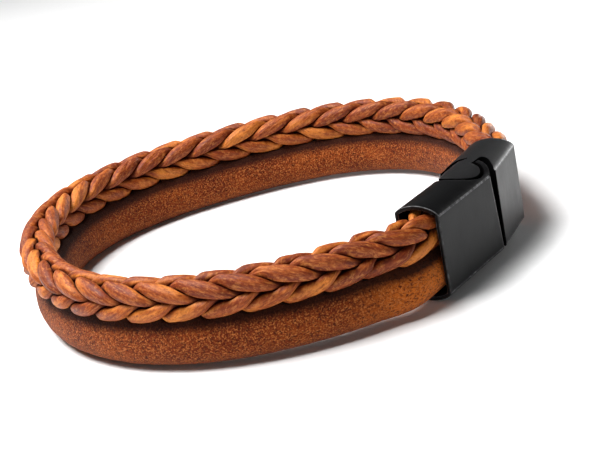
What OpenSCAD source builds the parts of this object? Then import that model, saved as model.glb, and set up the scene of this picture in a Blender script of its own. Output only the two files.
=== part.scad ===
// Leather bracelet: a braided strand lies above a plain strand, and one hook clasp holds both.
// It lies on its side: +Z is the axis of the loop, and the clasp faces +X.

/* [Loop] */
// Mean radius of the strands' centre line, seen from above
loop_r = 33.7; // [31:0.1:37]
// Extra radius at the two ends of the loop's long way
loop_oval = 1.1; // [0:0.1:2]
// Direction of the long way, in degrees from the clasp
oval_turn = 80; // [70:1:110]
// Extra radius at three places evenly round the loop
loop_swell = 0.7; // [0:0.1:1]
// Direction of the first of the three
swell_turn = 72; // [0:1:119]
// Extra radius at four places evenly round the loop
loop_square = 0.6; // [0:0.1:1]
// Direction of the first of the four
square_turn = 85; // [0:1:89]
// How much lower the strands lie opposite the clasp
loop_droop = 0.65; // [0:0.05:0.8]
// Where the middle of the loop lies along X, so that the whole part is centred
loop_x = 0.65; // [-2:0.05:2]
// Where the middle of the loop lies along Y
loop_y = -0.45; // [-2:0.05:2]

/* [Braid] */
// Height of the braided strand
braid_h = 5.8; // [5.6:0.1:6]
// Thickness of the braided strand, from the wrist outward
braid_w = 5.4; // [5:0.1:5.6]
// Times that the strands cross over in one column of the braid, from end to end
floats = 36; // [30:1:40]
// Width of a leather lace where it lies on top
cover_w = 3.1; // [2.7:0.1:3.1]
// Thickness of a lace where it lies on top
cover_t = 1.05; // [0.9:0.05:1.05]
// Width of a lace where it is pressed into the core
core_w = 1.6; // [1.2:0.1:1.6]
// Thickness of a lace in the core
core_t = 0.8; // [0.6:0.05:0.8]

/* [Plain strand] */
// Height of the plain strand
plain_h = 6; // [5.8:0.1:6.2]
// Thickness of the plain strand, from the wrist outward
plain_w = 5.2; // [4.6:0.1:5.4]
// Gap between the two strands
strand_gap = 0.2; // [0.15:0.05:0.4]
// How far the plain strand lies inward of the braided one, opposite the clasp
plain_tuck = 0.8; // [0:0.1:1]

/* [Clasp] */
// Height of the clasp's flat faces
face_h = 10.6; // [10.4:0.1:11]
// Thickness of the clasp, from the wrist outward
clasp_t = 6.9; // [6.8:0.1:7.2]
// How far the arched narrow sides rise above the flat faces
arch_rise = 1.4; // [1.1:0.1:1.5]
// Thickness of the walls round a mouth
wall = 0.7; // [0.6:0.05:0.75]
// Length of the hook half's face, from its mouth to the bend of the clasp
hook_l = 15.5; // [15.2:0.1:16]
// Length of the tongue half's face, from the bend to its mouth
tongue_l = 10.9; // [10:0.1:12]
// Angle between the two halves
bend = 11.8; // [8:0.2:14]
// Distance of the hook half's face from the middle of the loop
face_r = 34.8; // [34.4:0.1:35.4]
// Direction that the hook half's face looks, in degrees from +X
hook_turn = -5.2; // [-8:0.2:-3]
// Distance of the hook half's mouth from the foot of face_r, along the face
hook_back = 9.8; // [9:0.1:11]
// Depth of the mouth in the hook half
hook_mouth = 7.8; // [6:0.1:8]
// Depth of the mouth in the tongue half
tongue_mouth = 6.2; // [4:0.1:6.5]
// Radius of the tongue's round head
head_r = 3.05; // [2.8:0.05:3.1]
// Narrowest gap between the two halves
seam_gap = 0.2; // [0.1:0.05:0.25]
// Lean of the hook's outer edge, which widens the seam towards the top
seam_lean = 6; // [2:0.5:7]

/* [Hidden] */
steel = "#2b2b2d";
suede = "#96502a";
lace_warm = "#c47d4a";
lace_dark = "#a8643a";

// Heights: the clasp stands on the arch of its lower side
clasp_h = face_h + 2*arch_rise;
clasp_z = clasp_h/2;
strand_drop = (braid_h + plain_h)/2 + strand_gap;

// Bearings of the clasp's parts, seen from the middle of the loop
hook_reach = face_r - clasp_t/2;
bend_along = hook_l - hook_back;
tongue_turn = hook_turn + bend;
tongue_face_r = face_r*cos(bend) + bend_along*sin(bend);
tongue_foot = bend_along*cos(bend) - face_r*sin(bend);
tongue_reach = tongue_face_r - clasp_t/2;
hook_rim = 360 + hook_turn - atan(hook_back/hook_reach);
tongue_rim = tongue_turn + atan((tongue_foot + tongue_l)/tongue_reach);

// The strands end a little short of the bottoms of the mouths
end_gap = 0.3;
first_a = tongue_turn + atan((tongue_foot + tongue_l - tongue_mouth + end_gap)/tongue_reach);
last_a = 360 + hook_turn - atan((hook_back - hook_mouth + end_gap)/hook_reach);

// Over this angle outside a mouth a strand turns from the clasp's line into the free loop
lead_a = 15;
// Inside the mouths the strands are pressed together to these shares of their height and thickness
grip_z = 0.96;
grip_n = 0.94;

// Braid: a lace's path swings by wind_lift about wind_r, and its sides roll as it goes over and under
rings_per_float = 4;
wind_r = 1.84;
wind_lift = 0.84;
wind_roll = 22;
wind_shape = 0.66;
lace_side = 0.54;
lace_wrap = 0.15;
braid_stations = floats*rings_per_float;
// The winding's own height and thickness, which braid_h and braid_w scale
wound_h = 5.8;
wound_w = 5.8;

// Plain strand
plain_rings = 60;
plain_sides = 14;

// Tongue and hook, seen from above: along the hook half's face, and inward from it
head_at = [12.6, 3.8];
socket_at = [13.65, 4.15];
socket_r = 4.7;
hook_depth = 2.95;
neck_depth = hook_depth + 0.25;
lip_at = 11;
lean_r = 4.05;
lean_shift = 0.95;
// The lean of the hook's edge begins this far past the middle of the tongue's head
lean_from = 0.6;
slit_w = 0.3;
slit_path = [[10.2, 6.05], [13, 6.25], [15.2, 6.35], [16.4, 6.1], [17, 5.3]];
// The tongue half's two bars run into each other by this much where the clasp bends
bend_overlap = 1;
// Its inner side turns this far before the bend, and its bars are thicker by inner_spare till it is cut
inner_turn = 1.3;
inner_spare = 0.3;
// Shapes that cut or trim others run past them by this much
spare = 1;

$fn = 96;

function spot(r, a) = [r*cos(a), r*sin(a), 0];
function mix(a, b, t) = a + (b - a)*t;
function ease(t) = let (c = min(1, max(0, t))) c*c*(3 - 2*c);

// Share of the clasp's hold at a bearing: 1 in a mouth, 0 on the free loop
function hold(a) = 1 - ease((a - tongue_rim)/lead_a) + ease(1 - (hook_rim - a)/lead_a);
function free_r(a) = loop_r + loop_oval*cos(2*(a - oval_turn)) + loop_swell*cos(3*(a - swell_turn))
                     + loop_square*cos(4*(a - square_turn));
function held_r(a) = a < 180 ? tongue_reach/cos(a - tongue_turn) : hook_reach/cos(a - hook_turn);
function line_at(a) = spot(mix(free_r(a), held_r(a), hold(a)), a) + [loop_x, loop_y, 0];
function outward(a) = let (d = line_at(a + 0.2) - line_at(a - 0.2)) [d[1], -d[0], 0]/norm(d);
function droop(a) = loop_droop*(1 - cos(a))/2;
function tuck(a) = plain_tuck*(1 - hold(a))*(1 - cos(a))/2;

// A point of a strand's section: n outward from the centre line, z above the clasp's middle
function pressed(a, n, z) =
    let (h = hold(a))
    line_at(a) + outward(a)*n*mix(1, grip_n, h)
    + [0, 0, max(0, clasp_z + z*mix(1, grip_z, h) - droop(a))];

// Joins rings of the same number of points into one closed tube
module tube(rings, flip) {
    n = len(rings[0]);
    m = len(rings);
    side = [for (i = [0:m - 2], j = [0:n - 1])
        let (a = i*n + j, b = i*n + (j + 1)%n)
        each [[a, b, a + n], [b, b + n, a + n]]];
    first = [for (j = [1:n - 2]) [0, j + 1, j]];
    last = [for (j = [1:n - 2]) [0, j, j + 1] + [1, 1, 1]*(m - 1)*n];
    faces = concat(side, first, last);
    turned = [for (f = faces) [f[0], f[2], f[1]]];
    polyhedron([for (r = rings) each r], flip ? turned : faces, convexity = 10);
}

function station(j, count) = mix(first_a, last_a, j/count);

// One section of lace number k at a station, where the laces of one family wind one way (way is 1)
// and those of the other wind the opposite way (way is -1)
function lace_ring(j, k, way) =
    let (turn = way*90*(j/rings_per_float + k + (way > 0 ? 0 : 0.5)),
         swing = way*sin(2*turn),
         level = sign(swing)*pow(abs(swing), wind_shape),
         top = (level + 1)/2,
         r = wind_r + wind_lift*level,
         w = mix(core_w, cover_w, top)/2,
         t = mix(core_t, cover_t, top)/2,
         roll = wind_roll*cos(2*turn),
         a = station(j, braid_stations))
    [for (p = [[1, 0], [lace_side, 1], [-lace_side, 1], [-1, 0], [-lace_side, -1], [lace_side, -1]])
        let (x = p[0]*w,
             y = p[1]*t - lace_wrap*top*p[0]*p[0],
             u = (x*cos(roll) - y*sin(roll))*way,
             v = x*sin(roll) + y*cos(roll) + r)
        pressed(a, (v*sin(turn) + u*cos(turn))*braid_w/wound_w,
                strand_drop/2 + (v*cos(turn) - u*sin(turn))*braid_h/wound_h)];

module braid_strand(k, way) {
    color(k%2 == 0 ? lace_warm : lace_dark)
        tube([for (j = [0:braid_stations]) lace_ring(j, k, way)], way < 0);
}

module plain_strand() {
    color(suede)
        tube([for (j = [0:plain_rings])
            let (a = station(j, plain_rings))
            [for (i = [0:plain_sides - 1])
                let (c = 360*(i + 0.5)/plain_sides)
                pressed(a, sin(c)*plain_w/2 - tuck(a), cos(c)*plain_h/2 - strand_drop/2)]], false);
}

// Section of the clasp: flat faces, and narrow sides that arch; inset makes the mouth's section,
// and more makes the section thicker on its inner side
module clasp_section(inset, more) {
    arch_r = (clasp_t*clasp_t/4 + arch_rise*arch_rise)/(2*arch_rise);
    arch_at = clasp_h/2 - arch_r;
    intersection() {
        translate([inset, -clasp_h]) square([clasp_t - 2*inset + more, 2*clasp_h]);
        for (s = [-1, 1]) translate([clasp_t/2, s*arch_at]) circle(arch_r - inset);
    }
}

// A bar of the clasp's section along +X, its outer face in the plane Y = 0
module clasp_bar(from, to, inset = 0, more = 0) {
    translate([from, 0, 0]) rotate([90, 0, 90]) linear_extrude(to - from) clasp_section(inset, more);
}

// Puts a half in place: its own X runs along the hook half's face from the mouth, and Y inward
module clasp_place() {
    d = hook_turn + 90;
    translate(spot(face_r, hook_turn) + spot(-hook_back, d) + [loop_x, loop_y, clasp_z]) rotate(d) children();
}

module at_bend() {
    translate([hook_l, 0, 0]) rotate(bend) translate([-hook_l, 0, 0]) children();
}

module hook_plan() {
    difference() {
        union() {
            square([lip_at, clasp_t]);
            square([head_at[0], head_at[1]]);
            intersection() {
                translate(socket_at) circle(socket_r - seam_gap);
                translate([head_at[0] - spare, 0]) square([2*socket_r, hook_depth]);
            }
        }
        translate(head_at) circle(head_r + seam_gap);
    }
}

// Cuts the hook's outer edge on a lean, so that it has room to swing out of the tongue half
module lean_cut() {
    rotate([0, -seam_lean, 0]) linear_extrude(3*clasp_h, center = true) difference() {
        translate([head_at[0] + lean_from, -spare]) square([2*socket_r, hook_depth + 2*spare]);
        translate(head_at + [lean_shift, 0]) circle(lean_r);
    }
}

module clasp_hook_half() {
    color(steel) clasp_place() difference() {
        intersection() {
            clasp_bar(0, 2*hook_l);
            linear_extrude(2*clasp_h, center = true) hook_plan();
        }
        clasp_bar(-spare, hook_mouth, wall);
        lean_cut();
    }
}

// Everything of the tongue half but its round head: neck, lip and body
module tongue_body_plan() {
    lip = lip_at + seam_gap;
    turn = [hook_l - inner_turn, clasp_t];
    end = [hook_l + tongue_l*cos(bend) - clasp_t*sin(bend), tongue_l*sin(bend) + clasp_t*cos(bend)];
    past_end = end + (end - turn)/4;
    difference() {
        polygon([[lip, 0], [2*past_end[0], 0], [2*past_end[0], past_end[1]], past_end, turn, [lip, clasp_t]]);
        intersection() {
            translate(socket_at) circle(socket_r);
            translate([0, -spare]) square([hook_l + tongue_l, neck_depth + spare]);
        }
        translate([0, -spare]) square([head_at[0], head_at[1] + spare]);
    }
}

// One side of the slit: the path's points, each moved square to the path by half the slit's width
function slit_side(way) =
    let (last = len(slit_path) - 1)
    [for (i = [0:last])
        let (d = slit_path[min(i + 1, last)] - slit_path[max(i - 1, 0)])
        slit_path[i] + way*slit_w/2*[-d[1], d[0]]/norm(d)];

// Saw cut that bends round the head, next to the inner side
module slit() {
    back = slit_side(-1);
    polygon(concat(slit_side(1), [for (i = [len(back) - 1:-1:0]) back[i]]));
}

module clasp_tongue_half() {
    color(steel) clasp_place() difference() {
        intersection() {
            union() {
                at_bend() clasp_bar(hook_l - bend_overlap, hook_l + tongue_l, more = inner_spare);
                clasp_bar(head_at[0] - head_r - spare, hook_l, more = inner_spare);
            }
            linear_extrude(2*clasp_h, center = true) difference() {
                union() {
                    tongue_body_plan();
                    translate(head_at) circle(head_r);
                }
                slit();
            }
        }
        at_bend() clasp_bar(hook_l + tongue_l - tongue_mouth, hook_l + tongue_l + spare, wall);
    }
}

clasp_hook_half();
clasp_tongue_half();
plain_strand();
braid_strand(0, 1);  // braid_strand_1
braid_strand(1, 1);  // braid_strand_2
braid_strand(2, 1);  // braid_strand_3
braid_strand(3, 1);  // braid_strand_4
braid_strand(0, -1);  // braid_strand_5
braid_strand(1, -1);  // braid_strand_6
braid_strand(2, -1);  // braid_strand_7
braid_strand(3, -1);  // braid_strand_8
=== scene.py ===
"""Dresses the leather bracelet: braided laces, a plain cord and a black steel hook clasp."""
import math

import bmesh
import bpy
import numpy as np
from mathutils import Matrix, Vector
from mathutils.geometry import delaunay_2d_cdt


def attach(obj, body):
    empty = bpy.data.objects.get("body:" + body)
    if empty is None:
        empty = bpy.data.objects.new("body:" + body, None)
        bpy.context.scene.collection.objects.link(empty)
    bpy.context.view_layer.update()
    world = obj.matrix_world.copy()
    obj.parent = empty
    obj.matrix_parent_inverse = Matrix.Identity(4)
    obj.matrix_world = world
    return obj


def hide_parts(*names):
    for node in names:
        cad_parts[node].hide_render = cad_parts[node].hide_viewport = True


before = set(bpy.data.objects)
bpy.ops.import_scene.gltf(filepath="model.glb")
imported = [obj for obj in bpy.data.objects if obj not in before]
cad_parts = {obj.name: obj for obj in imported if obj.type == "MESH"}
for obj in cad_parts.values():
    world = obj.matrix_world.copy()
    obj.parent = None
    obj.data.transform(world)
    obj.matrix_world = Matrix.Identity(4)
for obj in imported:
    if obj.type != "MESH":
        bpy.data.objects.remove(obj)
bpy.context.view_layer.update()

MM = 0.001

# The bracelet's sizes in millimetres and degrees, as in part.scad
LOOP_R, LOOP_OVAL, LOOP_SWELL, LOOP_SQUARE = 33.7, 1.1, 0.7, 0.6
OVAL_TURN, SWELL_TURN, SQUARE_TURN = 80, 72, 85
LOOP_DROOP, PLAIN_TUCK = 0.65, 0.8
LOOP_AT = np.array([0.65, -0.45, 0])
BRAID_H, BRAID_W = 5.8, 5.4
PLAIN_H, PLAIN_W, STRAND_GAP = 6, 5.2, 0.2
FACE_H, CLASP_T, ARCH_RISE = 10.6, 6.9, 1.4
HOOK_L, TONGUE_L, BEND = 15.5, 10.9, 11.8
FACE_R, HOOK_TURN, HOOK_BACK = 34.8, -5.2, 9.8
HOOK_MOUTH, TONGUE_MOUTH = 7.8, 6.2
END_GAP, LEAD_A, GRIP_Z, GRIP_N = 0.3, 15, 0.96, 0.94
# Width and height of the braid as wound, before it is pressed to BRAID_W by BRAID_H
WOUND = 5.8
# Half the step in bearing over which the centre line's direction is measured
STEP_A = 0.2


# Sine, cosine and arc tangent in degrees

def sin(a):
    return np.sin(np.radians(a))


def cos(a):
    return np.cos(np.radians(a))


def atan(t):
    return math.degrees(math.atan(t))


def mix(a, b, t):
    """From a to b by the share t."""
    return a + (b - a)*t


def ease(t):
    """A smooth step from 0 to 1."""
    c = np.clip(t, 0, 1)
    return c*c*(3 - 2*c)


CLASP_Z = FACE_H/2 + ARCH_RISE
STRAND_DROP = (BRAID_H + PLAIN_H)/2 + STRAND_GAP
HOOK_REACH = FACE_R - CLASP_T/2
BEND_ALONG = HOOK_L - HOOK_BACK
TONGUE_TURN = HOOK_TURN + BEND
TONGUE_FACE_R = FACE_R*cos(BEND) + BEND_ALONG*sin(BEND)
TONGUE_FOOT = BEND_ALONG*cos(BEND) - FACE_R*sin(BEND)
TONGUE_REACH = TONGUE_FACE_R - CLASP_T/2
HOOK_RIM = 360 + HOOK_TURN - atan(HOOK_BACK/HOOK_REACH)
TONGUE_RIM = TONGUE_TURN + atan((TONGUE_FOOT + TONGUE_L)/TONGUE_REACH)
FIRST_A = TONGUE_TURN + atan((TONGUE_FOOT + TONGUE_L - TONGUE_MOUTH + END_GAP)/TONGUE_REACH)
LAST_A = 360 + HOOK_TURN - atan((HOOK_BACK - HOOK_MOUTH + END_GAP)/HOOK_REACH)


# The strands' centre line, by bearing

def hold(a):
    """How far the clasp shapes the strands at a bearing: 1 inside it, 0 away from it."""
    return 1 - ease((a - TONGUE_RIM)/LEAD_A) + ease(1 - (HOOK_RIM - a)/LEAD_A)


def line_at(a):
    """The centre line: a swollen oval where it is free, and straight inside each half."""
    free = (LOOP_R + LOOP_OVAL*cos(2*(a - OVAL_TURN)) + LOOP_SWELL*cos(3*(a - SWELL_TURN))
            + LOOP_SQUARE*cos(4*(a - SQUARE_TURN)))
    held = np.where(a < 180, TONGUE_REACH/cos(a - TONGUE_TURN), HOOK_REACH/cos(a - HOOK_TURN))
    r = mix(free, held, hold(a))
    return np.stack([r*cos(a), r*sin(a), 0*a], -1) + LOOP_AT


def pressed(a, n, z):
    """Points n outward from the centre line and z above the clasp's middle, at bearings a."""
    step = line_at(a + STEP_A) - line_at(a - STEP_A)
    out = np.stack([step[..., 1], -step[..., 0], 0*a], -1)
    out /= np.linalg.norm(out, axis=-1, keepdims=True)
    h = hold(a)
    p = line_at(a)[..., None, :] + out[..., None, :]*(n*mix(1, GRIP_N, h)[..., None])[..., None]
    droop = LOOP_DROOP*(1 - cos(a))/2
    p[..., 2] = np.maximum(0, CLASP_Z + z*mix(1, GRIP_Z, h)[..., None] - droop[..., None])
    return p


# Relief that is made in the meshes

NOISE_LEVELS = 4096


def noise(points, seed):
    """Smooth noise from -1 to 1 on points, between random levels at the corners of unit cells."""
    levels = np.random.default_rng(seed).uniform(-1, 1, NOISE_LEVELS)
    cell = np.floor(points).astype(np.int64)
    f = points - cell
    f = f*f*f*(f*(6*f - 15) + 10)
    total = 0
    for corner in range(8):
        c = [corner >> k & 1 for k in range(3)]
        # Three primes scatter the corners over the levels
        key = sum((cell[..., k] + c[k])*m for k, m in enumerate((73, 179, 283)))
        weight = 1
        for k in range(3):
            weight = weight*(f[..., k] if c[k] else 1 - f[..., k])
        total = total + weight*levels[(key*(key % 61 + 7)) % NOISE_LEVELS]
    return total


# The braid's eight laces: sections in the planes across the strand

# Rings along a lace, and points in each of them
LACE_RINGS, LACE_POINTS = 660, 44
# Length of one float's step along the braid, the shorter step in front, the place where that begins,
# and how gently it does
PITCH, FRONT_PITCH, FRONT_FROM, FRONT_LEAD = 5.45, 5.08, 148, 3
# Floats are counted so that at this place along the strand the count is this share past a whole one
COUNT_AT, COUNT_SHARE = 167.0, 0.3
# Whole floats added to the count, which keep it positive
COUNT_FROM = 100
# Width of a lace in the middle of a float and at its ends, the turn from one to the other, and its
# thickness
FLOAT_W, END_W, END_TURN, LACE_T = 2.4, 1.5, 70, 1.8
# Radius of a lace's path on top and in the core
TOP_R, CORE_R = 2.08, 0.85
# A lace turns at this share of the mean rate on top, and makes up for it as it dives into the core
TOP_RATE, DIVE_POWER = 0.5, 7
# The dive begins and ends at these turns from the middle of a float, where the core's middle is at 90
DIVE_FROM, DIVE_TO = 40, 84
# A lace rolls to and fro about its own path by this much
WIND_ROLL = 8
# The braid is this much squarer than round, its corners under the floats
SQUARE = 0.04
# The sides of a lace on top bend down by this much
LACE_WRAP = 0.1
# Shares of a lace's own size at which it is tried against the others, and the room kept from them
TRIED_SHARES, ROOM = np.linspace(0.1, 1.36, 43), 1.02
# A point touches fully if it meets another lace at the first share, and not at all beyond the second
TOUCH_FULL, TOUCH_NONE = 0.98, 1.3
# Touching laces draw back from each other by this share of their size
CREASE = 0.1
# Depth of the folds in a lace and of its fine relief, and how wide the folds are in their noise
FOLD_DEPTH, FINE_DEPTH, FOLD_W = 0.13, 0.02, 0.22
# How closely the points of a section gather on its outer side, which shows
GATHER = 0.55
# Painted shade: laces darken below this reach from the braid's middle, and are fully dark this much deeper
DARK_REACH, DARK_FADE = 2.2, 0.6


def lace_frames(k, way, floats):
    """Centre, size and roll of a lace's section at places along the braid, counted in floats."""
    # The turn at an even rate, and how far it is from the middle of the nearest float
    steady = 90*(floats + k + (0 if way > 0 else 0.5))
    off = (steady - 45 + 90) % 180 - 90
    dive = np.sign(off)*(1 - TOP_RATE)*90*(np.abs(off)/90)**DIVE_POWER
    turn = way*(steady - off + TOP_RATE*off + dive)
    top = 1 - ease((np.abs(off) - DIVE_FROM)/(DIVE_TO - DIVE_FROM))
    return {"float": np.floor((steady + 45)/180).astype(int), "turn": turn, "top": top,
            "r": mix(CORE_R, TOP_R*(1 - SQUARE*cos(4*turn)), top),
            "w": mix(END_W, FLOAT_W, ease(1 - np.abs(off)/END_TURN))/2,
            "roll": WIND_ROLL*cos(2*turn), "way": way}


def lace_points(f, x, y):
    """Section points x across and y out of a lace, in the strand's own cross-section."""
    c, s = cos(f["roll"])[:, None], sin(f["roll"])[:, None]
    bent = y - LACE_WRAP*f["top"][:, None]*(x/f["w"][:, None])**2
    u = (x*c - bent*s)*f["way"]
    v = x*s + bent*c + f["r"][:, None]
    ct, st = cos(f["turn"])[:, None], sin(f["turn"])[:, None]
    return np.stack([v*st + u*ct, v*ct - u*st], -1)


def lace_measure(f, p):
    """How far points of the cross-section are from a lace's middle: 1 is on its oval surface."""
    ct, st = cos(f["turn"])[:, None], sin(f["turn"])[:, None]
    v = p[..., 0]*st + p[..., 1]*ct - f["r"][:, None]
    u = (p[..., 0]*ct - p[..., 1]*st)*f["way"]
    c, s = cos(f["roll"])[:, None], sin(f["roll"])[:, None]
    x = u*c + v*s
    y = v*c - u*s
    w = f["w"][:, None]
    y = y + LACE_WRAP*f["top"][:, None]*(x/w)**2
    return np.hypot(x/w, y/(LACE_T/2))


def relief(i, f, angle, along, share):
    """Long creases in the outer side of a lace, deep in some floats and faint in others."""
    across = np.cos(angle)[None, :]*f["w"][:, None]*share
    at = np.stack([np.broadcast_to(along[:, None], across.shape), across,
                   np.full(across.shape, 5.3*i)], -1)
    strength = np.clip(0.5 + 1.4*noise(at*[0.13, 0.1, 1], 20 + i), 0, 1)
    fold = np.clip(1 - np.abs(noise(at*[0.14, 1.3, 1], 40 + i))/FOLD_W, 0, 1)
    fine = noise(at*[0.5, 4, 1], 60 + i)
    outer = np.clip(np.sin(angle)*1.5, 0, 1)[None, :]
    return outer*(strength*FOLD_DEPTH*fold**1.5 + FINE_DEPTH*fine)


def meeting_shares(i, frames, x0, y0):
    """Share of its own size at which each point of lace i meets another lace, or 9 if it meets none."""
    found = np.full(x0.shape, 9.0)
    last_s, last_room = 0, np.ones_like(x0)
    for s in TRIED_SHARES:
        p = lace_points(frames[i], x0*s, y0*s)
        others = np.min([lace_measure(frames[j], p) for j in range(8) if j != i], 0)
        room = others - s*ROOM
        meeting = last_s + (s - last_s)*last_room/(last_room - room + 1e-9)
        found = np.where((room < 0) & (found == 9), meeting, found)
        last_s, last_room = s, room
    return found


def lace_sections(along):
    """Outlines of the eight laces in shared planes, each pressed flat where it meets another."""
    extra = np.logaddexp(0, (along - FRONT_FROM)/FRONT_LEAD)*FRONT_LEAD
    floats = along/PITCH + extra*(1/FRONT_PITCH - 1/PITCH)
    floats = floats - np.interp(COUNT_AT, along, floats) + COUNT_SHARE + COUNT_FROM
    frames = [lace_frames(k, way, floats) for way in (1, -1) for k in range(4)]
    angle = np.arange(LACE_POINTS)/LACE_POINTS*2*math.pi
    angle = angle + GATHER*np.cos(angle)
    sections = []
    for i, f in enumerate(frames):
        x0 = np.cos(angle)[None, :]*f["w"][:, None]
        y0 = np.broadcast_to(np.sin(angle)*LACE_T/2, x0.shape)
        met_at = meeting_shares(i, frames, x0, y0)
        touch = np.clip(1 - (met_at - TOUCH_FULL)/(TOUCH_NONE - TOUCH_FULL), 0, 1)**1.5
        share = np.minimum(met_at, 1)*(1 - CREASE*touch)
        sections.append((lace_points(f, x0*share, y0*share - relief(i, f, angle, along, share)), touch))
    return frames, angle, sections


def tube_mesh(name, rings, flip=False):
    """A closed tube through rings of points, in metres, with its ends capped."""
    count, n = rings.shape[:2]
    i = np.arange(count - 1)[:, None]*n
    j = np.arange(n)[None, :]
    a, b = i + j, i + (j + 1) % n
    quads = np.stack([a, b, b + n, a + n], -1).reshape(-1, 4)
    faces = quads.tolist() + [list(range(n))[::-1], list(range((count - 1)*n, count*n))]
    if flip:
        faces = [f[::-1] for f in faces]
    mesh = bpy.data.meshes.new(name)
    mesh.from_pydata(rings.reshape(-1, 3).tolist(), [], faces)
    mesh.update()
    mesh.shade_smooth()
    return mesh


def attribute(mesh, name, values, kind="FLOAT"):
    """Stores a value or a vector at each point of a mesh, for its material to read."""
    layer = mesh.attributes.new(name, kind, "POINT")
    stored = "value" if kind == "FLOAT" else "vector"
    layer.data.foreach_set(stored, np.asarray(values, np.float32).ravel())


def add_piece(mesh, material, slot, *nodes):
    """Puts a mesh in the scene in place of the part's nodes."""
    piece = bpy.data.objects.new(mesh.name, mesh)
    bpy.context.scene.collection.objects.link(piece)
    mesh.materials.append(material)
    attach(piece, "root")
    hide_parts(*nodes)
    return piece


# Materials

def new_material(name):
    """An empty material, for a Nodes to fill."""
    m = bpy.data.materials.new(name)
    m.use_nodes = True
    m.node_tree.nodes.clear()
    return m


class Nodes:
    """Short ways to add shader nodes to one material."""

    def __init__(self, owner):
        self.tree = owner.node_tree

    def add(self, kind, sockets=None, **settings):
        node = self.tree.nodes.new(kind)
        for key, value in settings.items():
            setattr(node, key, value)
        for key, value in (sockets or {}).items():
            self.put(node.inputs[key], value)
        return node

    def put(self, socket, value):
        """Links a socket to another node's, or sets its own value."""
        if isinstance(value, bpy.types.NodeSocket):
            self.tree.links.new(value, socket)
        else:
            socket.default_value = value

    def attribute(self, name, output="Fac"):
        return self.add("ShaderNodeAttribute", attribute_name=name).outputs[output]

    def scaled(self, vector, scale, at=(0, 0, 0)):
        node = self.add("ShaderNodeMapping", {"Vector": vector, "Scale": scale, "Location": at})
        return node.outputs["Vector"]

    def noise(self, vector, scale, detail=3, rough=0.55, warp=0):
        node = self.add("ShaderNodeTexNoise", {"Vector": vector, "Scale": scale, "Detail": detail,
                                               "Roughness": rough, "Distortion": warp})
        return node.outputs["Fac"]

    def ramp(self, value, stops):
        """A colour by value, from stops that each give a place and a colour or a grey level."""
        node = self.add("ShaderNodeValToRGB", {"Fac": value})
        ramp = node.color_ramp
        while len(ramp.elements) < len(stops):
            ramp.elements.new(0.5)
        for element, (at, colour) in zip(ramp.elements, stops):
            element.position = at
            element.color = (*colour, 1) if isinstance(colour, tuple) else (colour, colour, colour, 1)
        return node.outputs["Color"]

    def blend(self, factor, a, b):
        """From colour a to colour b by factor; the node's colour sockets share names and go by number."""
        node = self.add("ShaderNodeMix", data_type="RGBA", blend_type="MIX")
        self.put(node.inputs["Factor"], factor)
        self.put(node.inputs[6], a)
        self.put(node.inputs[7], b)
        return node.outputs[2]

    def maths(self, operation, *values, clamp=False):
        node = self.add("ShaderNodeMath", operation=operation, use_clamp=clamp)
        for socket, value in zip(node.inputs, values):
            self.put(socket, value)
        return node.outputs[0]

    def finish(self, colour, rough, height, bump, depth, **others):
        """Ends in a Principled shader; a plain number is set on the shader's own socket."""
        normal = self.add("ShaderNodeBump", {"Height": height, "Strength": bump, "Distance": depth*MM})
        shader = self.add("ShaderNodeBsdfPrincipled", {"Base Color": colour, "Roughness": rough,
                                                       "Normal": normal.outputs["Normal"]})
        for key, value in others.items():
            self.put(shader.inputs[key.replace("_", " ")], value)
        out = self.add("ShaderNodeOutputMaterial")
        self.tree.links.new(shader.outputs["BSDF"], out.inputs["Surface"])


def rgb(*levels):
    """Display levels from 0 to 255 as linear light."""
    return tuple((v/255/12.92) if v <= 10 else ((v/255 + 0.055)/1.055)**2.4 for v in levels)


def lace_material(name, number):
    """Waxed leather of one lace: a tone for each float, long streaks, and painted shade between the laces.
    """
    m = new_material(name)
    n = Nodes(m)
    at = n.attribute("lace_at", "Vector")
    crease = n.attribute("painted_crease_shade")
    long_grain = n.noise(n.scaled(at, (0.35, 2.6, 1), (number*7.3, number*3.1, 0)), 1, 5, 0.6, 0.6)
    patches = n.noise(n.scaled(at, (0.22, 0.4, 1), (number*11.7, 5, 0)), 1, 3, 0.5, 0.3)
    pores = n.noise(n.scaled(at, (4.5, 6, 1), (0, number, 0)), 1, 3, 0.6)
    own = n.maths("MULTIPLY_ADD", n.attribute("float_tone"), 0.34, n.maths("SUBTRACT", patches, 0.195))
    tone = n.ramp(own, [(0.26, rgb(88, 26, 6)), (0.42, rgb(120, 46, 13)), (0.56, rgb(156, 76, 24)),
                        (0.72, rgb(222, 134, 50))])
    streaks = n.ramp(long_grain, [(0.3, rgb(66, 16, 2)), (0.5, rgb(134, 56, 15)),
                                  (0.72, rgb(200, 112, 46))])
    colour = n.blend(0.42, tone, streaks)
    flecks = n.noise(n.scaled(at, (1.6, 3.4, 1), (number, 2, 0)), 1, 4, 0.65, 0.5)
    colour = n.blend(n.ramp(flecks, [(0.5, 0), (0.72, 0.5)]), colour, (*rgb(224, 146, 74), 1))
    colour = n.blend(n.ramp(flecks, [(0.34, 0.6), (0.46, 0)]), colour, (*rgb(84, 26, 8), 1))
    colour = n.blend(n.ramp(pores, [(0.28, 0.6), (0.44, 0)]), colour, (*rgb(70, 20, 6), 1))
    # Painted shade, dark where a lace sinks into the braid's core and where laces touch
    colour = n.blend(crease, colour, (*rgb(70, 18, 3), 1))
    height = n.maths("ADD", n.maths("MULTIPLY", long_grain, 0.8), n.maths("MULTIPLY", pores, 0.3))
    rough = n.maths("MULTIPLY_ADD", patches, 0.25, 0.4)
    rough = n.maths("MULTIPLY_ADD", crease, 0.4, rough, clamp=True)
    n.finish(colour, rough, height, 0.6, 0.25, Specular_IOR_Level=0.24)
    return m


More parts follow.
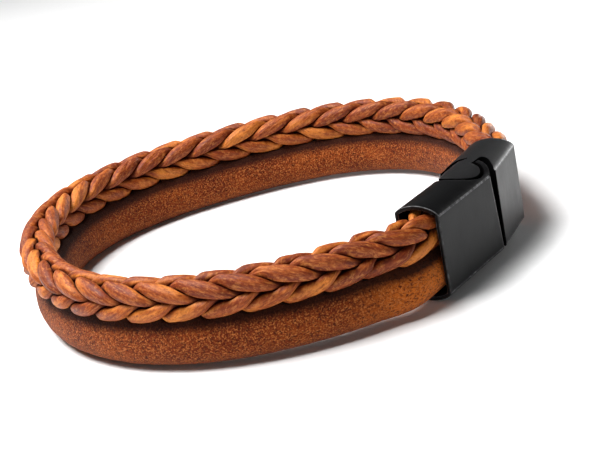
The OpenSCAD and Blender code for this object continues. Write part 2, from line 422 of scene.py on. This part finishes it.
def suede_material():
    """Rough rust-brown leather, speckled light and dark, lighter near the clasp, with painted shade under
    the braid.
    """
    m = new_material("plain_leather_looks")
    n = Nodes(m)
    at = n.attribute("cord_at", "Vector")
    near_clasp = n.attribute("near_clasp")
    specks = n.noise(n.scaled(at, (2.6, 3.4, 3.4)), 1, 4, 0.7, 0.4)
    fine = n.noise(n.scaled(at, (4.6, 5.6, 5.6), (3, 1, 7)), 1, 3, 0.65)
    clouds = n.noise(n.scaled(at, (0.12, 0.3, 0.3), (9, 2, 4)), 1, 3, 0.5)
    base = n.ramp(clouds, [(0.3, rgb(94, 32, 5)), (0.5, rgb(114, 46, 9)), (0.7, rgb(136, 61, 14))])
    base = n.blend(near_clasp, base, (*rgb(238, 126, 36), 1))
    dark = n.ramp(specks, [(0.38, 0.9), (0.54, 0)])
    light = n.ramp(fine, [(0.5, 0), (0.64, 0.8)])
    colour = n.blend(dark, base, (*rgb(48, 12, 2), 1))
    colour = n.blend(light, colour, (*rgb(192, 112, 54), 1))
    # Painted shade on the cord's upper side, under the braid
    colour = n.blend(n.attribute("painted_shade_under_braid"), colour, (*rgb(34, 8, 2), 1))
    height = n.maths("ADD", specks, n.maths("MULTIPLY", fine, 0.7))
    n.finish(colour, 0.85, height, 0.6, 0.3, Specular_IOR_Level=0.12, Sheen_Weight=0.05,
             Sheen_Roughness=0.5)
    return m


def steel_material(name, darkest, lightest, shine):
    """Black-coated brushed steel with bare, brighter edges."""
    m = new_material(name)
    n = Nodes(m)
    at = n.attribute("half_at", "Vector")
    edge = n.attribute("edge")
    grain = n.noise(n.scaled(at, (5, 5, 0.35)), 1, 4, 0.7)
    clouds = n.noise(n.scaled(at, (0.35, 0.35, 0.25)), 1, 3, 0.5)
    wear = n.noise(n.scaled(at, (1.1, 1.1, 0.8), (4, 4, 4)), 1, 4, 0.7)
    base = n.ramp(grain, [(0.3, rgb(*darkest)), (0.7, rgb(*lightest))])
    worn = n.maths("MULTIPLY", edge, n.ramp(wear, [(0.4, 0.1), (0.55, 0.3), (0.7, 0.9)]), clamp=True)
    colour = n.blend(worn, base, (*rgb(156, 156, 158), 1))
    rough = n.maths("MULTIPLY_ADD", clouds, 0.15, n.maths("MULTIPLY_ADD", grain, 0.2, 0.24))
    n.finish(colour, rough, grain, 0.3, 0.03, Specular_IOR_Level=shine)
    return m


def seam_shade_material():
    """Dull near-black painted shade on the walls of the seam between the clasp's halves and of the slit.
    """
    m = new_material("black_steel_seam_shade")
    n = Nodes(m)
    grain = n.noise(n.scaled(n.attribute("half_at", "Vector"), (3, 3, 1)), 1, 3, 0.6)
    n.finish(n.ramp(grain, [(0.3, rgb(1, 1, 1)), (0.7, rgb(4, 4, 4))]), 0.85, grain, 0.1, 0.02,
             Specular_IOR_Level=0.02)
    return m


# The braid

def build_braid():
    """Builds the laces; gives the rings' bearings, their places along it, and the laces' sections."""
    bearings = mix(FIRST_A, LAST_A, np.arange(LACE_RINGS)/(LACE_RINGS - 1))
    steps = np.linalg.norm(np.diff(line_at(bearings), axis=0), axis=1)
    along = np.concatenate([[0], np.cumsum(steps)])
    frames, angle, sections = lace_sections(along)
    braid = []
    for i, (f, (p, touch)) in enumerate(zip(frames, sections)):
        node = f"braid_strand_{i + 1}"
        reach = np.linalg.norm(p, axis=-1)
        p = p*[BRAID_W/WOUND, BRAID_H/WOUND] + [0, STRAND_DROP/2]
        braid.append(p)
        rings = pressed(bearings, p[..., 0], p[..., 1])
        mesh = tube_mesh(f"lace_{i + 1}", rings*MM, flip=f["way"] > 0)
        across = np.cos(angle)[None, :]*f["w"][:, None]
        at = np.stack([np.broadcast_to(along[:, None], across.shape), across,
                       np.broadcast_to(np.sin(angle)[None, :], across.shape)], -1)
        attribute(mesh, "lace_at", at, "FLOAT_VECTOR")
        # Painted shade for the material: deep in the braid and where laces touch
        attribute(mesh, "painted_crease_shade", np.maximum(np.clip((DARK_REACH - reach)/DARK_FADE, 0, 1), touch))
        # A random tone for each float of this lace
        tones = np.random.default_rng(80 + i).uniform(0, 1, 400)
        attribute(mesh, "float_tone", np.broadcast_to(tones[f["float"]][:, None], across.shape))
        add_piece(mesh, lace_material(f"braid_leather_{i + 1}", i + 1), "braid_leather", node)
    return bearings, along, braid


# The plain strand

PLAIN_POINTS = 60
# Waves and grain of its surface and its shrinking, as shares of its radius
WAVES, GRAIN, SHRINK = 0.012, 0.01, 0.005
# How far its upper side reaches into the braid's hollows, the gap that stays between the two, and
# how far at most the side is pressed down instead
NESTLE, NESTLE_GAP, PRESS_MOST = 1.15, 0.03, 0.4
# The cord is lighter over this length beside the clasp and over the next, where that fades, by a share
NEAR_L, NEAR_FADE, NEAR_SHARE = 8, 14, 0.7
# Painted shade darkens it under the braid: cosines of the bearing in its section where that begins and is
# full
DARK_FROM, DARK_FULL, DARK_SHARE = 0.52, 0.74, 0.92


def lowest(sections, n):
    """Height of the braid's underside over places n across it, in each ring."""
    low = np.full(n.shape, 99.0)
    for p in sections:
        q = np.roll(p, -1, axis=1)
        for k in range(p.shape[1]):
            n0, z0, n1, z1 = p[:, k, :1], p[:, k, 1:], q[:, k, :1], q[:, k, 1:]
            t = (n - n0)/np.where(np.abs(n1 - n0) < 1e-9, 1e-9, n1 - n0)
            low = np.where((t >= 0) & (t <= 1), np.minimum(low, mix(z0, z1, t)), low)
    return low


def build_plain(bearings, along, braid):
    """The lower cord, in rings at the braid's bearings, its upper side shaped by the braid."""
    turn = np.arange(PLAIN_POINTS)/PLAIN_POINTS*360
    n = np.broadcast_to(sin(turn)*PLAIN_W/2, (len(bearings), PLAIN_POINTS))
    z = np.broadcast_to(cos(turn)*PLAIN_H/2, (len(bearings), PLAIN_POINTS))
    at = np.stack([np.broadcast_to(along[:, None], n.shape), n, z], -1)
    free = 1 - np.clip(hold(bearings), 0, 1)[:, None]
    waves, grain = noise(at*[0.15, 0.3, 0.3], 3), noise(at*[1.2, 1.6, 1.6], 4)
    swell = 1 + free*(WAVES*waves + GRAIN*grain - SHRINK)
    n, z = n*swell, z*swell - STRAND_DROP/2
    raised = z + NESTLE*free*np.clip(cos(turn), 0, 1)**2
    tuck = PLAIN_TUCK*free*(1 - cos(bearings))[:, None]/2
    under = lowest(braid, n - tuck)
    # Neighbouring rings and points count too, so that the faces between them stay clear
    for axis in (0, 1):
        under = np.minimum(under, np.minimum(np.roll(under, 1, axis), np.roll(under, -1, axis)))
    z = np.where(cos(turn) > 0, np.maximum(np.minimum(raised, under - NESTLE_GAP), z - PRESS_MOST), z)
    rings = pressed(bearings, n - tuck, z)
    mesh = tube_mesh("plain_cord", rings*MM)
    attribute(mesh, "cord_at", at, "FLOAT_VECTOR")
    near = np.clip(1 - (along[-1] - along - NEAR_L)/NEAR_FADE, 0, 1)[:, None]
    attribute(mesh, "near_clasp", np.broadcast_to(near, n.shape)*NEAR_SHARE)
    # Painted shade on the upper side of the section, where the braid overhangs it
    painted_shade_under_braid = np.clip((cos(turn) - DARK_FROM)/(DARK_FULL - DARK_FROM), 0, 1)[None, :]*np.ones_like(n)
    attribute(mesh, "painted_shade_under_braid", DARK_SHARE*painted_shade_under_braid)
    add_piece(mesh, suede_material(), "plain_leather", "plain_strand")


# The clasp: each half is an outline seen from above, raised between an arched top and underside

# Thickness of the hook half, and of the tongue half at its lip
BODY_T, LIP_T = 6.6, 7.1
# The arch: its rise, and the two powers of its profile
RISE, ARCH_P, ARCH_Q = 1.35, 1.8, 0.57
# Thickness of the walls round a mouth
WALL = 0.6
# Places are given along the clasp and inward from the hook half's outer face
# Middle and radius of the tongue's round head, and where its neck begins, inward
HEAD_AT, HEAD_R, NECK_DEPTH = (12.63, 3.8), 2.99, 3.28
# Thickness of the hook's bar, where the hook half's inner side ends, and the seam between the halves
HOOK_DEPTH, LIP_AT, SEAM = 2.97, 10.28, 0.4
# The hook's end is an arc that leans by this many degrees: its radius, and its middle from the head's
LEAN, LEAN_R, LEAN_SHIFT = 4, 4.05, 0.72
# Far side of the gap beside the hook, from the neck to the outer face
GAP = [(17.85, 3.25), (18.13, 3.2), (18.28, 3.03), (18.33, 2.8), (18.28, 2.5), (18.0, 2.02),
       (17.42, 1.46), (16.85, 0.92), (15.98, 0.22)]
# The slit beside the tongue's head: its near side, from the head's edge to its end
SLIT = [(10.15, 5.42), (11.2, 5.75), (12.2, 6.02), (13.2, 6.28), (14.2, 6.52), (15.2, 6.66), (16.1, 6.6),
        (16.75, 6.35), (17.05, 5.9), (17.12, 5.4), (17.2, 5.05)]
# Width of the slit, where the tongue half's finger beside it ends, and the finger's blunt tip: a
# point of it along and inward from there, and where its straight inner side begins
SLIT_W, FINGER_AT, FINGER_TIP, FINGER_SIDE = 0.36, 12.6, (0.7, 0.3), 1.6
# The slit's near edge is bevelled this wide, by place along it, and its drop is a share of that
BEVEL_W, BEVEL_DROP = [0.2, 0.35, 0.5, 0.7, 0.95, 0.8, 0.25], 0.3
# Radii of the outer edges, the edges along the seam, those of the tongue half's narrow face beside
# the gap, and those of the mouths
EDGE_R, SEAM_R, NARROW_R, MOUTH_R = 0.08, 0.06, 0.03, 0.08
# Radii of the corners seen from above: at the ends, at the hook's tip and along the seam
CORNER_R, TIP_R, SMALL_R = 0.22, 0.1, 0.078
# Wear of the ends' corners and of the bevel, as a share of that of the top's edges
CORNER_WEAR, BEVEL_WEAR = 0.35, 0.3
# The arch turns with the tongue half's bend over this length
TURN_OVER = 3
# Spacing of the points on the arches, steps of the walls' height, of rounded edges and of corners
CELL, WALL_STEPS, EDGE_STEPS, CORNER_STEPS = 0.27, 14, 3, 4
# At a corner of the outline a rounded edge reaches in by at most this many times its radius
MITER_MOST = 1.6
# No edge is rounder than this share of how thin its half is there
THIN_SHARE = 0.3


def arch(v, thick=BODY_T):
    """Height of the arched top above the clasp's middle, v inward from the outer face of a half."""
    off = np.clip(np.abs(2*v/thick - 1), 0, 1)
    return FACE_H/2 + RISE*(1 - off**ARCH_P)**ARCH_Q


def past_bend(x, y):
    """A point given along and inward from the tongue half's own outer face."""
    return HOOK_L + x*cos(BEND) - y*sin(BEND), x*sin(BEND) + y*cos(BEND)


def hook_height(p):
    """Height of the hook half's top."""
    return arch(p[:, 1])


def inner_side(x):
    """How far inward the tongue half reaches: its inner side is one straight line."""
    end = past_bend(TONGUE_L, BODY_T)
    return LIP_T + (x - LIP_AT)*(end[1] - LIP_T)/(end[0] - LIP_AT)


def tongue_height(p):
    """Height of the tongue half's top, whose arch turns with the bend."""
    u, v = p[:, 0] - HOOK_L, p[:, 1]
    turned = v*cos(BEND) - u*sin(BEND)
    past = ease(0.5 + (u*cos(BEND/2) + v*sin(BEND/2))/TURN_OVER)
    inner = inner_side(p[:, 0])
    outer = np.maximum(u, 0)*math.tan(math.radians(BEND))
    return arch(mix(v, turned, past), mix(inner, (inner - outer)*cos(BEND), past))


def circle_points(centre, r, a, b, steps):
    """Points of an arc from bearing a to bearing b."""
    t = np.linspace(a, b, steps + 1)
    return np.stack([centre[0] + r*cos(t), centre[1] + r*sin(t)], -1)


def straight(a, b, steps):
    """Points of a straight line from a to b."""
    return np.linspace(a, b, steps + 1)


def smooth(points, steps):
    """Points evenly along a smooth curve through the given ones."""
    p = np.array(points)
    run = np.concatenate([[0], np.cumsum(np.linalg.norm(np.diff(p, axis=0), axis=1))])
    slope = np.gradient(p, run, axis=0)
    t = np.linspace(0, run[-1], steps + 1)
    i = np.clip(np.searchsorted(run, t, side="right") - 1, 0, len(p) - 2)
    h = (run[i + 1] - run[i])[:, None]
    s = (t - run[i])[:, None]/h
    return ((1 + 2*s)*(1 - s)**2*p[i] + s*(1 - s)**2*h*slope[i] + s*s*(3 - 2*s)*p[i + 1]
            + s*s*(s - 1)*h*slope[i + 1])


def beside(points, distance):
    """A line moved to its left by a distance."""
    d = np.gradient(points, axis=0)
    return points + distance*np.stack([-d[:, 1], d[:, 0]], -1)/np.linalg.norm(d, axis=1, keepdims=True)


def hook_outline(z):
    """Lines round the hook half at height z: points, radius of the edge, radius of the corner after it.

    The hook's end leans, so that the gap beside it widens upward."""
    y = np.linspace(0, HOOK_DEPTH, 13)
    gap = smooth(GAP, 40)[::-1]
    socket = np.interp(y, gap[:, 1], gap[:, 0]) - SEAM
    middle = HEAD_AT[0] + LEAN_SHIFT - z*math.tan(math.radians(LEAN))
    end = middle + np.sqrt(LEAN_R**2 - (y - HEAD_AT[1])**2)
    tip = np.stack([np.minimum(socket, end), y], -1)
    r = HEAD_R + SEAM
    first = math.degrees(math.asin((HOOK_DEPTH - HEAD_AT[1])/r))
    last = math.degrees(math.acos((LIP_AT - HEAD_AT[0])/r)) - 360
    head = circle_points(HEAD_AT, r, first, last, 56)
    return [(straight((0, 0), tip[0], 40), EDGE_R, TIP_R), (tip, SEAM_R, SMALL_R),
            (straight(tip[-1], head[0], 3), SEAM_R, SMALL_R), (head, SEAM_R, SMALL_R),
            (straight(head[-1], (LIP_AT, BODY_T), 3), SEAM_R, SMALL_R),
            (straight((LIP_AT, BODY_T), (0, BODY_T), 31), EDGE_R, CORNER_R),
            (straight((0, BODY_T), (0, 0), 20), EDGE_R, CORNER_R)]


def tongue_outline(z):
    """Lines round the tongue half, the same at every height."""
    socket = smooth(GAP, 18)
    foot = past_bend((socket[-1][0] - HOOK_L)*cos(BEND) + socket[-1][1]*sin(BEND), 0)
    near = smooth(SLIT, 44)
    far = beside(near, SLIT_W)
    far = far[far[:, 0] > FINGER_AT]
    way = math.degrees(math.atan2(*(far[-1] - near[-1])[::-1]))
    slit_end = circle_points((near[-1] + far[-1])/2, SLIT_W/2, way, way - 180, 6)
    first = 180 - math.degrees(math.asin((SLIT[0][1] - HEAD_AT[1])/HEAD_R))
    last = 360 + math.degrees(math.asin((NECK_DEPTH - HEAD_AT[1])/HEAD_R))
    head = circle_points(HEAD_AT, HEAD_R, first, last, 52)
    # The slit begins exactly at the head's edge
    near[0] = head[0]
    bevel = smooth(list(enumerate(BEVEL_W)), len(near) - 1)[::-1, 1]
    end_out, end_in = past_bend(TONGUE_L, 0), past_bend(TONGUE_L, BODY_T)
    finger = (FINGER_AT + FINGER_SIDE, inner_side(FINGER_AT + FINGER_SIDE))
    tip = smooth([finger, (FINGER_AT + FINGER_TIP[0], finger[1] - FINGER_TIP[1]), far[0]], 8)
    return [(far, SEAM_R, 0), (slit_end, SEAM_R, 0), (near[::-1], bevel, 0), (head, SEAM_R, SMALL_R),
            (straight(head[-1], socket[0], 6), SEAM_R, 0), (socket, SEAM_R, 0),
            (straight(socket[-1], foot, 1), NARROW_R, 0),
            (straight(foot, end_out, 30), EDGE_R, CORNER_R),
            (straight(end_out, end_in, 20), EDGE_R, CORNER_R),
            (straight(end_in, finger, 33), EDGE_R, 0), (tip, EDGE_R, 0)]


def corner_points(start, corner, end):
    """Round arc from start nearly to end, inside a corner, and its radius."""
    a, b = start - corner, end - corner
    size = (np.linalg.norm(a) + np.linalg.norm(b))/2
    a, b = a/np.linalg.norm(a), b/np.linalg.norm(b)
    half = np.arccos(np.clip(a @ b, -1, 1))/2
    centre = corner + (a + b)/np.linalg.norm(a + b)*size/np.cos(half)
    v0, v1 = start - centre, end - centre
    swing = math.pi - 2*half
    steps = np.arange(CORNER_STEPS)/CORNER_STEPS
    points = [centre + (v0*np.sin((1 - t)*swing) + v1*np.sin(t*swing))/np.sin(swing) for t in steps]
    return points, size*np.tan(half)


def rounded(lines):
    """Joins lines into one closed outline: points, edge radii, the first point of each line."""
    # Each line first gives up its ends to the corners, but never more than nearly half a step
    trimmed = []
    for k, (points, _, after) in enumerate(lines):
        points = points.copy()
        for end, inner, r in ((0, 1, lines[k - 1][2]), (-1, -2, after)):
            step = points[inner] - points[end]
            length = np.linalg.norm(step)
            points[end] = points[end] + step/length*min(r, 0.45*length)
        trimmed.append(points)
    flat, radii, starts = [], [], []
    for k, (points, edge, after) in enumerate(lines):
        following = (k + 1) % len(lines)
        starts.append(len(flat))
        flat += list(trimmed[k][:-1])
        size = np.broadcast_to(edge, len(points))
        radii += [min(size[0], np.min(lines[k - 1][1]))] + list(size[1:-1])
        if after:
            arc, arc_r = corner_points(trimmed[k][-1], points[-1], trimmed[following][0])
            flat += arc
            # The edge round a corner is sharper than the corner itself
            radii += [min(size[-1], np.min(lines[following][1]), 0.8*arc_r)]*CORNER_STEPS
    flat = np.array(flat)
    return flat, np.minimum(radii, THIN_SHARE*thickness(flat)), starts


def thickness(flat):
    """Distance straight across an outline from each point, or 9 where it has no other side.

    The other side's points lie inward of the point, and much farther from it along the outline."""
    step = np.linalg.norm(np.roll(flat, -1, axis=0) - flat, axis=1)
    run = np.concatenate([[0], np.cumsum(step)[:-1]])
    apart = np.abs(run[:, None] - run)
    apart = np.minimum(apart, step.sum() - apart)
    way = flat[None] - flat[:, None]
    gap = np.linalg.norm(way, axis=-1)
    across = (way*inward(flat)[:, None]).sum(-1) > 0.5*gap
    return np.where((apart > 2.5*gap + 1e-6) & across, gap, 9).min(1)


def inward(flat):
    """Miter direction into an outline that runs anticlockwise."""
    step = np.roll(flat, -1, axis=0) - flat
    step /= np.maximum(np.linalg.norm(step, axis=1, keepdims=True), 1e-9)
    n = np.stack([-step[:, 1], step[:, 0]], -1)
    before = np.roll(n, 1, axis=0)
    m = (n + before)/np.maximum(1 + (n*before).sum(1, keepdims=True), 0.2)
    length = np.linalg.norm(m, axis=1, keepdims=True)
    return m*np.minimum(1, MITER_MOST/length)


def filled(flat):
    """Grid points inside an outline, and the triangles over them and the outline's own points."""
    low, high = flat.min(0), flat.max(0)
    # Half a cell in, so that no added point lies on a straight side of the outline
    columns, rows = (np.arange(low[k] + CELL/2, high[k], CELL) for k in (0, 1))
    grid = np.stack(np.meshgrid(columns, rows), -1).reshape(-1, 2)
    x0, y0 = flat[:, 0], flat[:, 1]
    x1, y1 = np.roll(x0, -1), np.roll(y0, -1)
    gx, gy = grid[:, :1], grid[:, 1:]
    over = (y0 > gy) != (y1 > gy)
    where = x0 + (gy - y0)*(x1 - x0)/np.where(y1 == y0, 1e-9, y1 - y0)
    inside = (over & (gx < where)).sum(1) % 2 == 1
    far = np.linalg.norm(grid[:, None] - flat[None], axis=-1).min(1) > CELL*0.55
    grid = grid[inside & far]
    points = [Vector(q) for q in np.concatenate([flat, grid])]
    _, _, triangles, origins, _, _ = delaunay_2d_cdt(points, [], [list(range(len(flat)))], 1, 1e-6)
    return grid, [[min(origins[k]) for k in f] for f in triangles]


class Shell:
    """Points and faces of one half, and the wear of each face; a wear of -1 stands for the dull black
    painted shade of the seam and the slit.
    """

    def __init__(self):
        self.points, self.faces, self.worn = [], [], []

    def ring(self, flat, z):
        """Adds points seen from above with their heights, and gives their numbers."""
        self.points.extend(np.column_stack([flat, np.broadcast_to(z, len(flat))]).tolist())
        return np.arange(len(self.points) - len(flat), len(self.points))

    def band(self, lower, upper, wear, skip=()):
        """Adds the faces between two rings, apart from those numbered in skip."""
        for k in range(len(lower)):
            if k not in skip:
                after = (k + 1) % len(lower)
                self.faces.append([lower[k], lower[after], upper[after], upper[k]])
                self.worn.append(wear[k])

    def fill(self, faces):
        """Adds faces that no wear reaches."""
        self.faces.extend(faces)
        self.worn.extend([0]*len(faces))

    def mesh(self, name):
        """The closed mesh at its place in the frame, in metres, with its faces turned outward."""
        mesh = bpy.data.meshes.new(name)
        place = half_place()
        faces = [[int(k) for k in f] for f in self.faces]
        mesh.from_pydata([place @ (Vector(p)*MM) for p in self.points], [], faces)
        b = bmesh.new()
        b.from_mesh(mesh)
        bmesh.ops.recalc_face_normals(b, faces=b.faces)
        b.to_mesh(mesh)
        b.free()
        attribute(mesh, "half_at", self.points, "FLOAT_VECTOR")
        worn = np.asarray(self.worn, np.float32)
        mesh.attributes.new("edge", "FLOAT", "FACE").data.foreach_set("value", worn)
        mesh.shade_smooth()
        return mesh


def wall_wear(lines, starts, radii, bevel):
    """Wear of the wall at each point of the outline: its corners' own, and -1, the painted shade, in the
    seam and the slit.
    """
    ends = starts[1:] + [len(radii)]
    corner = np.zeros(len(radii))
    for end, (_, _, after) in zip(ends, lines):
        if after in (CORNER_R, TIP_R):
            corner[end - CORNER_STEPS:end] = CORNER_WEAR if after == CORNER_R else 1
    return np.where(((radii <= SEAM_R) | bevel) & (corner == 0), -1, corner)


def add_cap(shell, last, outline, height, sign, radii, drop, bevel):
    """Rounded or bevelled edges in from the wall's last ring, and the arched top or underside."""
    flat = rounded(outline(sign*CLASP_Z))[0]
    # Edges along the seam and the slit get -1, the near-black painted shade
    wear = np.where(bevel, BEVEL_WEAR, np.where(radii <= SEAM_R, -1, 1))
    for k in range(1, EDGE_STEPS + 1):
        turn = 90*k/EDGE_STEPS
        inner = flat + inward(flat)*(radii*np.where(bevel, k/EDGE_STEPS, 1 - cos(turn)))[:, None]
        fall = drop*np.where(bevel, 1 - k/EDGE_STEPS, 1 - sin(turn))
        following = shell.ring(inner, sign*(height(inner) - fall))
        shell.band(last, following, wear)
        last = following
    added, triangles = filled(inner)
    known = np.concatenate([last, shell.ring(added, sign*height(added))])
    shell.fill([[known[k] for k in f] for f in triangles])


def add_mouth(shell, levels, panel, at, depth):
    """From the edge of the end face to the mouth's opening, and in to its bottom."""
    columns = [*panel, panel[-1] + 1]
    across = len(columns) - 1
    top = [(c, 0) for c in range(across + 1)]
    far = [(across, t) for t in range(1, WALL_STEPS)]
    bottom = [(c, WALL_STEPS) for c in range(across, -1, -1)]
    near = [(0, t) for t in range(WALL_STEPS - 1, 0, -1)]
    c, t = np.array(top + far + bottom + near).T
    last = np.array([levels[b][columns[a] % len(levels[b])] for a, b in zip(c, t)])
    for inset, x, wear in ((WALL - MOUTH_R, 0, 0), (WALL, MOUTH_R, 1), (WALL, depth, 0)):
        place, y = at(x, mix(inset, BODY_T - inset, c/across))
        following = shell.ring(place, (arch(y) - inset)*(1 - 2*t/WALL_STEPS))
        shell.band(last, following, np.full(len(c), wear))
        last = following
    shell.fill([list(last)])


def hook_mouth(x, y):
    """Places in the hook half's end, x in from it and y across, and how far inward they lie.

    The outline runs outward there, so y is counted from the inner side."""
    y = BODY_T - y
    return np.stack([np.full(len(y), float(x)), y], -1), y


def tongue_mouth(x, y):
    """Places in the tongue half's end, x in from it and y across, and how far inward they lie."""
    return np.stack(past_bend(TONGUE_L - x, y), -1), y


def build_half(node, name, outline, height, mouth, at, depth, material, seam):
    """One half: walls with rounded edges, two arched caps, and the mouth in line number mouth."""
    shell = Shell()
    lines = outline(0)
    _, radii, starts = rounded(lines)
    panel = range(starts[mouth], starts[mouth] + len(lines[mouth][0]) - 1)
    # Edges wider than the outer ones are bevels, and drop by less than their width
    bevel = radii > EDGE_R + 0.02
    drop = np.where(bevel, BEVEL_DROP*radii, radii)
    levels = []
    for t in np.linspace(1, -1, WALL_STEPS + 1):
        flat = rounded(outline(t*CLASP_Z))[0]
        levels.append(shell.ring(flat, t*(height(flat) - drop)))
    wear = wall_wear(lines, starts, radii, bevel)
    for upper, lower in zip(levels, levels[1:]):
        shell.band(lower, upper, wear, panel)
    for sign, last in ((1, levels[0]), (-1, levels[-1])):
        add_cap(shell, last, outline, height, sign, radii, drop, bevel)
    add_mouth(shell, levels, panel, at, depth)
    mesh = shell.mesh(name)
    piece = add_piece(mesh, material, "black_steel", node)
    # Faces of the seam and the slit, whose wear is -1, take the near-black painted shade
    mesh.materials.append(seam)
    mesh.polygons.foreach_set("material_index", (np.asarray(shell.worn) < 0).astype(np.int32))
    piece.modifiers.new("even_shading", "WEIGHTED_NORMAL").keep_sharp = True


def half_place():
    """From the clasp's own axes, along its face, inward and up, to the frame."""
    turn = math.radians(HOOK_TURN + 90)
    foot = (FACE_R*cos(HOOK_TURN) - HOOK_BACK*cos(HOOK_TURN + 90) + LOOP_AT[0],
            FACE_R*sin(HOOK_TURN) - HOOK_BACK*sin(HOOK_TURN + 90) + LOOP_AT[1], CLASP_Z)
    return Matrix.Translation(Vector(foot)*MM) @ Matrix.Rotation(turn, 4, "Z")


def build_clasp():
    """Both halves of one black steel; the hook half's copy is darker and shines less, as painted shade."""
    # Painted shade: the hook half gets a darker, less shiny copy of the same steel
    hook_steel_shaded = steel_material("black_steel_hook_shaded", (5, 5, 6), (12, 12, 13), 0.17)
    tongue_steel = steel_material("black_steel_tongue", (12, 12, 13), (24, 24, 25), 0.35)
    seam = seam_shade_material()
    build_half("clasp_hook_half", "hook_half", hook_outline, hook_height, 6, hook_mouth, HOOK_MOUTH,
               hook_steel_shaded, seam)
    build_half("clasp_tongue_half", "tongue_half", tongue_outline, tongue_height, 8, tongue_mouth,
               TONGUE_MOUTH, tongue_steel, seam)


# Surroundings

# Half the floor's width, in metres
FLOOR_HALF = 2
# The camera as fitted to the photo: its place, its axes to the right and back, and its lens
EYE, LENS, SENSOR = (116.95, -175.50, 79.66), 91.7, 36
RIGHT, BACK = (0.8629, 0.4700, -0.1856), (0.5052, -0.7941, 0.3380)
# The nearest and farthest that it sees, in metres, and the strength of the even light from all sides
CLIP_START, CLIP_END, WORLD_LIGHT = 0.005, 20, 0.02


def build_stage():
    """A pale, even floor that belongs to the picture and not to the part."""
    mesh = bpy.data.meshes.new("floor")
    r = FLOOR_HALF
    mesh.from_pydata([(-r, -r, 0), (r, -r, 0), (r, r, 0), (-r, r, 0)], [], [(0, 1, 2, 3)])
    floor = bpy.data.objects.new("floor", mesh)
    bpy.context.scene.collection.objects.link(floor)
    m = new_material("pale_floor")
    n = Nodes(m)
    at = n.add("ShaderNodeTexCoord").outputs["Object"]
    grain = n.noise(at, 900, 2)
    n.finish(n.ramp(grain, [(0, rgb(238, 238, 238)), (1, rgb(243, 243, 243))]), 0.7, grain, 0.02, 0.1,
             Specular_IOR_Level=0.2)
    mesh.materials.append(m)


def add_area(name, at, aim, size, power):
    """A white rectangular lamp, its place, aim and size in millimetres and its power in watts."""
    lamp = bpy.data.lights.new(name, "AREA")
    lamp.shape = "RECTANGLE"
    lamp.size, lamp.size_y = size[0]*MM, size[1]*MM
    lamp.energy = power
    obj = bpy.data.objects.new(name, lamp)
    bpy.context.scene.collection.objects.link(obj)
    obj.location = Vector(at)*MM
    obj.rotation_euler = (Vector(aim) - Vector(at)).to_track_quat("-Z", "Y").to_euler()


def build_lights():
    """Five soft lamps, and a faint light from all sides."""
    world = bpy.data.worlds.new("studio")
    bpy.context.scene.world = world
    world.use_nodes = True
    background = world.node_tree.nodes["Background"]
    background.inputs["Color"].default_value = (1, 1, 1, 1)
    background.inputs["Strength"].default_value = WORLD_LIGHT
    add_area("key", (-80, -90, 270), (0, -10, 5), (150, 150), 1.7)
    add_area("high", (-150, 60, 250), (0, -10, 5), (150, 150), 0.45)
    add_area("left", (-300, 60, 110), (-30, 0, 5), (120, 120), 0.1)
    add_area("low", (60, 320, 30), (30, 0, 5), (260, 50), 0.6)
    add_area("front", (190, -210, 90), (10, -20, 5), (120, 120), 0.07)


def build_camera():
    """The photo's camera."""
    lens = bpy.data.cameras.new("camera")
    lens.lens = LENS
    lens.sensor_width = SENSOR
    lens.clip_start = CLIP_START
    lens.clip_end = CLIP_END
    camera = bpy.data.objects.new("camera", lens)
    bpy.context.scene.collection.objects.link(camera)
    # The three axes are made square to each other
    back = Vector(BACK).normalized()
    up = back.cross(Vector(RIGHT)).normalized()
    turn = Matrix((up.cross(back), up, back)).transposed().to_4x4()
    camera.matrix_world = Matrix.Translation(Vector(EYE)*MM) @ turn
    bpy.context.scene.camera = camera


build_plain(*build_braid())
build_clasp()
build_stage()
build_lights()
build_camera()
bpy.context.scene.view_settings.view_transform = "Standard"
